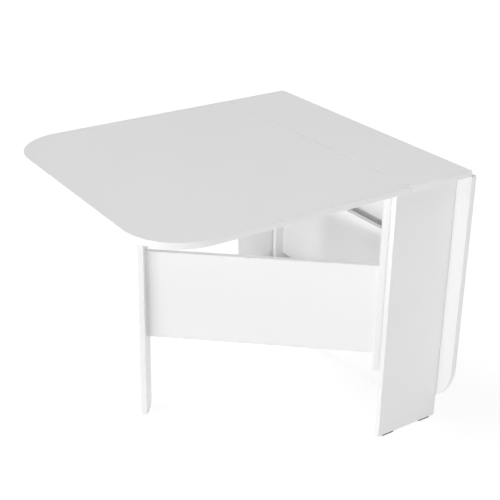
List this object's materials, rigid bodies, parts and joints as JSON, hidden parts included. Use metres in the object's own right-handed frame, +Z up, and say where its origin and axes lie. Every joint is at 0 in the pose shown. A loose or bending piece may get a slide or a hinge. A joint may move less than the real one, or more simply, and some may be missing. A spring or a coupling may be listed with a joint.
{
  "type": "gateleg table",
  "caption": "White drop-leaf table with a narrow fixed top on two end panels, hinged leaves with rounded corners, and swinging gate supports.",
  "frame": {"origin": "on the floor, under the middle of the outline of the table as stored: left leaf raised, right leaf hanging", "axes": "+Z up; +X across the table, from the raised left leaf towards the hanging right leaf; +Y along the seams, from the near end panel to the far one"},
  "size_m": [0.9178, 0.8, 0.746],
  "materials": {
    "white_laminate": "satin white melamine laminate on chipboard",
    "edge_banding": "white satin edge banding",
    "cap_plastic": "white plastic, fine texture",
    "glide_plastic": "dark grey plastic, matte",
    "hinge_white": "white powder coated rolled steel",
    "bracket_steel": "zinc plated pressed steel",
    "zinc_screws": "zinc plated",
    "cam_zinc": "cast zinc alloy",
    "dowel_wood": "unfinished beech"
  },
  "bodies": {
    "carcass": {"bracket_screws": "zinc_screws", "far_end_panel": "white_laminate", "far_end_panel_edging": "edge_banding", "far_left_bracket": "bracket_steel", "far_left_glide": "glide_plastic", "far_right_bracket": "bracket_steel", "far_right_glide": "glide_plastic", "fixed_top": "white_laminate", "fixed_top_edging": "edge_banding", "left_gate_hinge_inner_plate": "hinge_white", "left_gate_hinge_inner_screws": "zinc_screws", "left_gate_hinge_pin": "hinge_white", "left_leaf_hinge_inner_plate": "hinge_white", "left_leaf_hinge_inner_screws": "zinc_screws", "left_leaf_hinge_pin": "hinge_white", "low_rail": "white_laminate", "low_rail_edging": "edge_banding", "near_end_panel": "white_laminate", "near_end_panel_edging": "edge_banding", "near_left_bracket": "bracket_steel", "near_left_glide": "glide_plastic", "near_right_bracket": "bracket_steel", "near_right_glide": "glide_plastic", "rail_cam_bolts": "zinc_screws", "rail_cams": "cam_zinc", "rail_dowels": "dowel_wood", "right_gate_hinge_inner_plate": "hinge_white", "right_gate_hinge_inner_screws": "zinc_screws", "right_gate_hinge_pin": "hinge_white", "right_leaf_hinge_inner_plate": "hinge_white", "right_leaf_hinge_inner_screws": "zinc_screws", "right_leaf_hinge_pin": "hinge_white", "top_rail": "white_laminate"},
    "left_leaf": {"left_leaf": "white_laminate", "left_leaf_edging": "edge_banding", "left_leaf_hinge_outer_plate": "hinge_white", "left_leaf_hinge_outer_screws": "zinc_screws"},
    "right_leaf": {"right_leaf": "white_laminate", "right_leaf_edging": "edge_banding", "right_leaf_hinge_outer_plate": "hinge_white", "right_leaf_hinge_outer_screws": "zinc_screws"},
    "left_gate": {"left_gate_caps": "cap_plastic", "left_gate_connectors": "zinc_screws", "left_gate_edging": "edge_banding", "left_gate_glide": "glide_plastic", "left_gate_hinge_outer_plate": "hinge_white", "left_gate_hinge_outer_screws": "zinc_screws", "left_gate_leg": "white_laminate", "left_gate_rail": "white_laminate", "left_gate_stile": "white_laminate"},
    "right_gate": {"right_gate_caps": "cap_plastic", "right_gate_connectors": "zinc_screws", "right_gate_edging": "edge_banding", "right_gate_glide": "glide_plastic", "right_gate_hinge_outer_plate": "hinge_white", "right_gate_hinge_outer_screws": "zinc_screws", "right_gate_leg": "white_laminate", "right_gate_rail": "white_laminate", "right_gate_stile": "white_laminate"}
  },
  "joints": [
    {"name": "left_gate_swing", "type": "hinge", "parent": "carcass", "child": "left_gate", "pos_m": [0.2433, -0.3345, 0], "axis": [0, 0, 1], "range_deg": [-50, 40]},
    {"name": "left_leaf_fold", "type": "hinge", "parent": "carcass", "child": "left_leaf", "pos_m": [0.2416, 0, 0.7297], "axis": [0, 1, 0], "range_deg": [0, 2.5]},
    {"name": "right_leaf_fold", "type": "hinge", "parent": "carcass", "child": "right_leaf", "pos_m": [0.4426, 0, 0.7297], "axis": [0, -1, 0], "range_deg": [0, 92.5]},
    {"name": "right_gate_swing", "type": "hinge", "parent": "carcass", "child": "right_gate", "pos_m": [0.4409, 0.3345, 0], "axis": [0, 0, 1], "range_deg": [-0.3, 0.05]}
  ]
}
